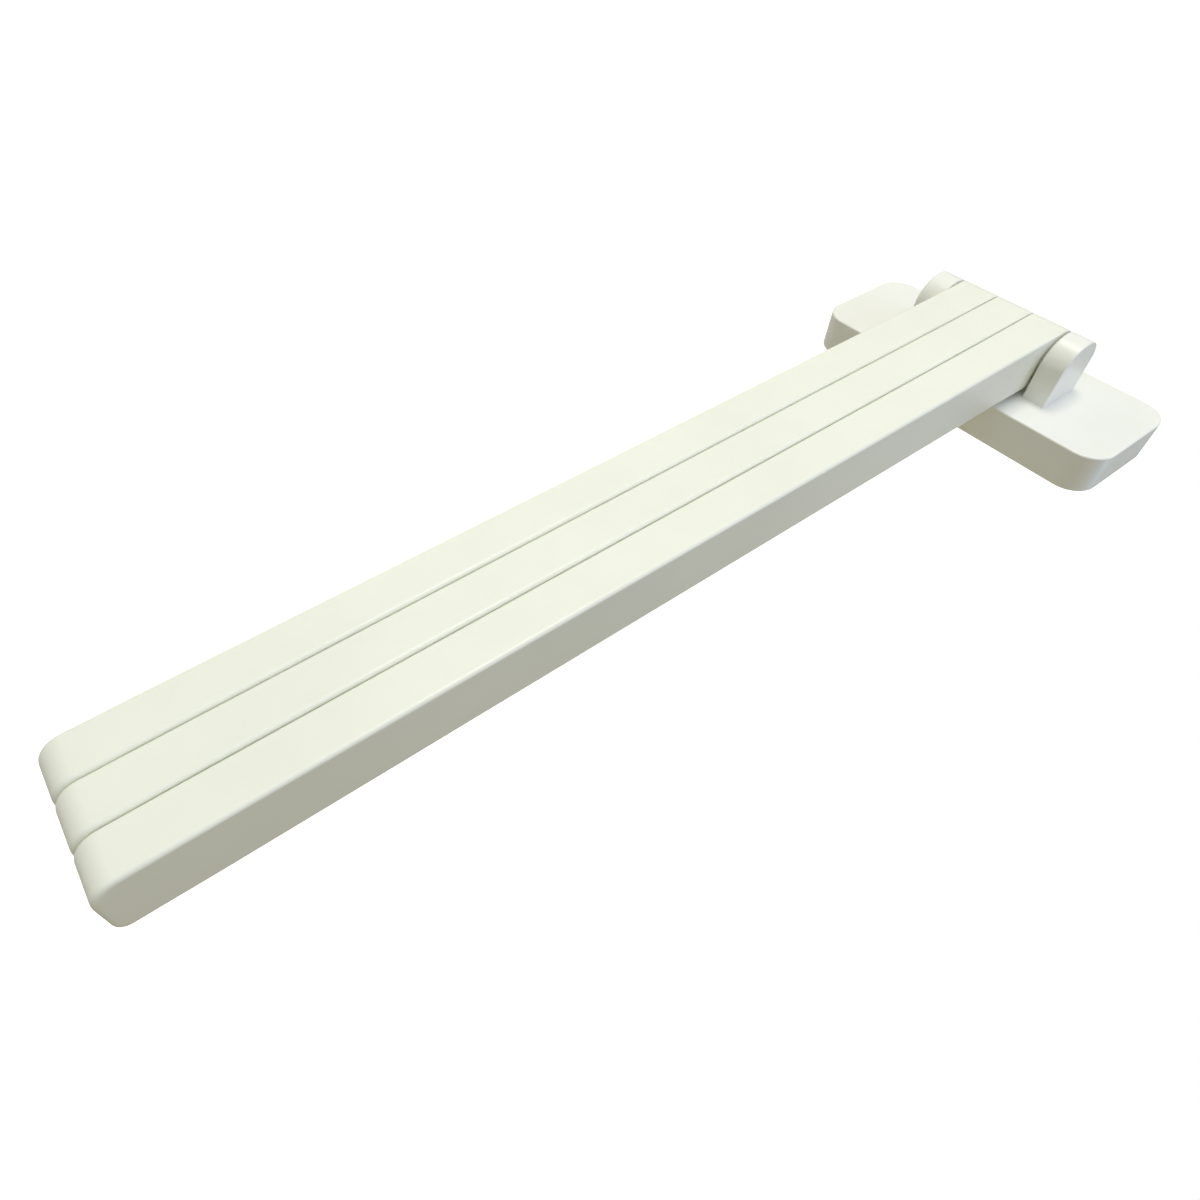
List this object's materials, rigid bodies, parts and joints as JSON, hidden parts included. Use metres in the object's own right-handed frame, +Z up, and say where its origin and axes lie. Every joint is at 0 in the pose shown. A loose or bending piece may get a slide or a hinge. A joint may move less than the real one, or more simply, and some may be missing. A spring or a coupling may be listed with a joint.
{
  "type": "swivel towel rail",
  "caption": "Wall-mounted towel rail of white plastic whose flat arms swivel on one upright pin between two ears on a rounded wall plate.",
  "frame": {"origin": "middle of the wall face, on the wall plane", "axes": "+Z up along the pivot, +Y into the wall, -Y out into the room, +X along the folded arms"},
  "size_m": [0.4375, 0.0447, 0.1456],
  "materials": {
    "housing_plastic": "smooth moulded, semi-gloss, cream white",
    "arm_plastic": "smooth moulded, semi-gloss, cream white",
    "cover_plastic": "fine satin texture, cream white",
    "bearing_plastic": "natural acetal, satin",
    "bracket_steel": "pressed stainless sheet, brushed",
    "screw_steel": "bright stainless",
    "insert_brass": "turned brass"
  },
  "bodies": {
    "wall_base": {"wall_housing": "housing_plastic", "wall_bracket": "bracket_steel", "lock_screw": "screw_steel", "lock_insert": "insert_brass", "pivot_bolt": "screw_steel", "pivot_cap": "housing_plastic", "bolt_insert": "insert_brass", "head_washer": "screw_steel", "ear_washer_top": "bearing_plastic", "arm_washer_upper": "bearing_plastic", "arm_washer_lower": "bearing_plastic", "ear_washer_bottom": "bearing_plastic"},
    "upper_arm": {"arm_shell_upper": "arm_plastic", "arm_back_cover_upper": "cover_plastic", "pivot_bush_upper": "bearing_plastic"},
    "middle_arm": {"arm_shell_middle": "arm_plastic", "arm_back_cover_middle": "cover_plastic", "pivot_bush_middle": "bearing_plastic"},
    "lower_arm": {"arm_shell_lower": "arm_plastic", "arm_back_cover_lower": "cover_plastic", "pivot_bush_lower": "bearing_plastic"}
  },
  "joints": [
    {"name": "upper_arm_swing", "type": "hinge", "parent": "wall_base", "child": "upper_arm", "pos_m": [0, -0.0328, 0.0172], "axis": [0, 0, -1], "range_deg": [0, 180]},
    {"name": "middle_arm_swing", "type": "hinge", "parent": "wall_base", "child": "middle_arm", "pos_m": [0, -0.0328, 0], "axis": [0, 0, -1], "range_deg": [0, 180]},
    {"name": "lower_arm_swing", "type": "hinge", "parent": "wall_base", "child": "lower_arm", "pos_m": [0, -0.0328, -0.0172], "axis": [0, 0, -1], "range_deg": [0, 180]}
  ]
}
